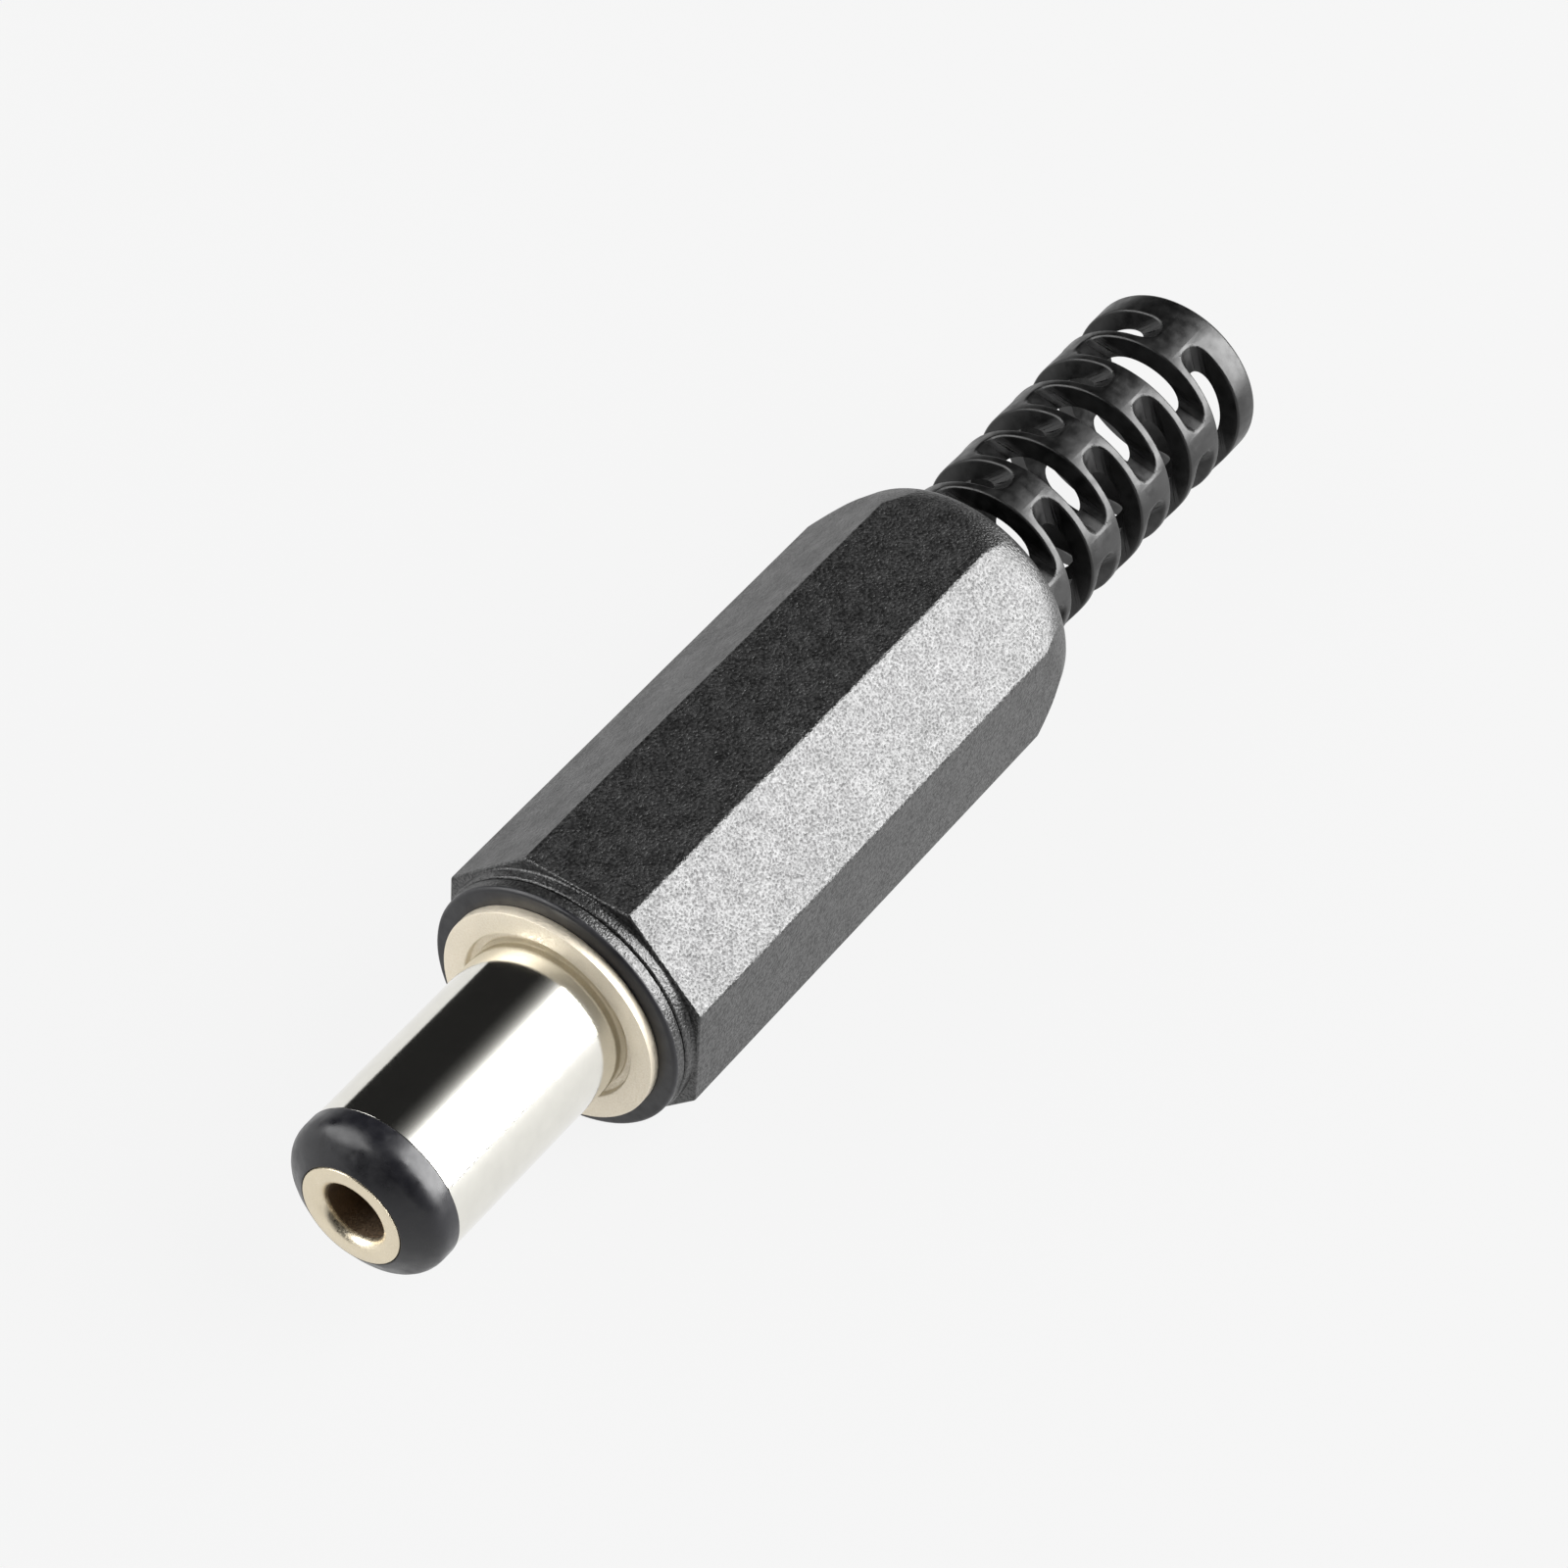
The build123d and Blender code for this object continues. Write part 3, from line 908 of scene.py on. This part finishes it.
class PLUG_OT_stage(bpy.types.Operator):
    """Set up the pale floor, the lights and the camera"""

    bl_idname = "plug.stage"
    bl_label = "Floor, lights and camera"

    def execute(self, context):
        stage = settings("plug_stage")
        self.add_floor(stage)
        self.add_lights(stage)
        self.add_camera()
        self.add_surroundings(stage)
        context.scene.view_settings.view_transform = "Standard"
        return {"FINISHED"}

    def add_surroundings(self, stage):
        world = bpy.data.worlds.new("studio")
        world.use_nodes = True
        background = world.node_tree.nodes["Background"]
        background.inputs["Color"].default_value = (*stage.surroundings, 1)
        bpy.context.scene.world = world

    def add_floor(self, stage):
        deselect_all()
        bpy.ops.mesh.primitive_plane_add(size=stage.floor_size, location=(0, 0, CAD_BOX[0][2]))
        floor = bpy.context.active_object
        floor.name = "pale_floor"
        material, _, _, shader = new_material("pale_floor")
        shader.inputs["Base Color"].default_value = (*stage.floor_colour, 1)
        shader.inputs["Roughness"].default_value = 0.9
        shader.inputs["Specular IOR Level"].default_value = 0.1
        shader.inputs["Emission Color"].default_value = (1, 1, 1, 1)
        shader.inputs["Emission Strength"].default_value = stage.floor_glow
        floor.data.materials.append(material)

    def facing(self, towards, across, distance):
        """A placement that faces the plug, its width laid across as given."""
        towards = Vector(towards).normalized()
        across = Vector(across)
        width_axis = (across - towards * towards.dot(across)).normalized()
        turn = Matrix((width_axis, towards.cross(width_axis), towards)).transposed()
        return Matrix.Translation(towards * distance) @ turn.to_4x4()

    def mirrored(self, turn):
        """Where the barrel mirrors what the camera sees, turned from above to the right."""
        return MIRROR_ALONG, MIRROR_OUT * math.sin(turn), MIRROR_OUT * math.cos(turn)

    def add_panel(self, name, placement, width, height, radiance):
        light = bpy.data.lights.new(name, "AREA")
        light.shape = "RECTANGLE"
        light.size = width
        light.size_y = height
        light.energy = radiance * math.pi * width * height
        panel = bpy.data.objects.new(name, light)
        bpy.context.scene.collection.objects.link(panel)
        panel.matrix_world = placement

    def add_lights(self, stage):
        self.add_panel(
            "softbox",
            self.facing(self.mirrored(stage.softbox_turn), PLUG_AXIS, stage.softbox_distance),
            stage.softbox_width, stage.softbox_height, stage.softbox_radiance)
        self.add_panel(
            "front_card",
            self.facing(FRONT_CARD_SIDE, FRONT_CARD_ACROSS, stage.front_card_distance),
            stage.front_card_width, stage.front_card_height, stage.front_card_radiance)
        self.add_feather(stage)

    def add_feather(self, stage):
        """A card whose light fades away from the softbox, by a share for each step."""
        distance = stage.softbox_distance
        height = 2 * MIRROR_OUT * distance * math.tan(stage.feather_half)
        deselect_all()
        bpy.ops.mesh.primitive_plane_add(size=1)
        card = bpy.context.active_object
        card.name = "softbox_feather"
        card.scale = (stage.feather_width, height, 1)
        bpy.ops.object.transform_apply(location=True, rotation=True, scale=True)
        card.matrix_world = self.facing(
            self.mirrored(stage.feather_turn), PLUG_AXIS, distance)
        material, nodes, links, shader = new_material("softbox_feather")
        coordinates = nodes.new("ShaderNodeTexCoord")
        separate = nodes.new("ShaderNodeSeparateXYZ")
        links.new(coordinates.outputs["Object"], separate.inputs["Vector"])
        steps_out = remap(
            nodes, links, separate.outputs["Y"], (-height / 2, height / 2),
            (2 * stage.feather_half / FEATHER_STEP, 0))
        power = nodes.new("ShaderNodeMath")
        power.operation = "POWER"
        power.inputs[0].default_value = stage.feather_fall
        links.new(steps_out, power.inputs[1])
        strength = nodes.new("ShaderNodeMath")
        strength.operation = "MULTIPLY"
        strength.inputs[1].default_value = stage.feather_radiance
        links.new(power.outputs[0], strength.inputs[0])
        links.new(strength.outputs[0], shader.inputs["Emission Strength"])
        shader.inputs["Base Color"].default_value = (0, 0, 0, 1)
        shader.inputs["Emission Color"].default_value = (1, 1, 1, 1)
        shader.inputs["Specular IOR Level"].default_value = 0
        card.data.materials.append(material)

    def add_camera(self):
        back = CAMERA_BACK.normalized()
        up = back.cross(CAMERA_RIGHT.normalized()).normalized()
        right = up.cross(back)
        data = bpy.data.cameras.new("photo_view")
        data.sensor_width = CAMERA_SENSOR
        data.lens = CAMERA_LENS
        data.clip_start = 0.01
        data.clip_end = 10
        camera = bpy.data.objects.new("photo_view", data)
        bpy.context.scene.collection.objects.link(camera)
        rotation = Matrix((right, up, back)).transposed()
        camera.matrix_world = Matrix.Translation(CAMERA_PLACE * MM) @ rotation.to_4x4()
        bpy.context.scene.camera = camera


class PLUG_PT_panel(bpy.types.Panel):
    """Lists the steps that dress the plug"""

    bl_label = "Barrel plug"
    bl_idname = "PLUG_PT_panel"
    bl_space_type = "VIEW_3D"
    bl_region_type = "UI"
    bl_category = "Barrel plug"

    def draw(self, context):
        for operator in STEPS:
            self.layout.operator(operator.bl_idname)


STEPS = (
    PLUG_OT_barrel, PLUG_OT_nose, PLUG_OT_tip_contact, PLUG_OT_base, PLUG_OT_cover,
    PLUG_OT_terminals, PLUG_OT_stage,
)
GROUPS = {
    "plug_sizes": PlugSizes,
    "cover_sizes": CoverSizes,
    "plug_finish": PlugFinish,
    "plug_stage": StageSettings,
}


def register():
    for name, group in GROUPS.items():
        bpy.utils.register_class(group)
        setattr(bpy.types.Scene, name, PointerProperty(type=group))
    for operator in STEPS:
        bpy.utils.register_class(operator)
    bpy.utils.register_class(PLUG_PT_panel)


def unregister():
    bpy.utils.unregister_class(PLUG_PT_panel)
    for operator in reversed(STEPS):
        bpy.utils.unregister_class(operator)
    for name, group in GROUPS.items():
        delattr(bpy.types.Scene, name)
        bpy.utils.unregister_class(group)


def main():
    register()
    for operator in STEPS:
        family, action = operator.bl_idname.split(".")
        getattr(getattr(bpy.ops, family), action)()


if __name__ == "__main__":
    main()
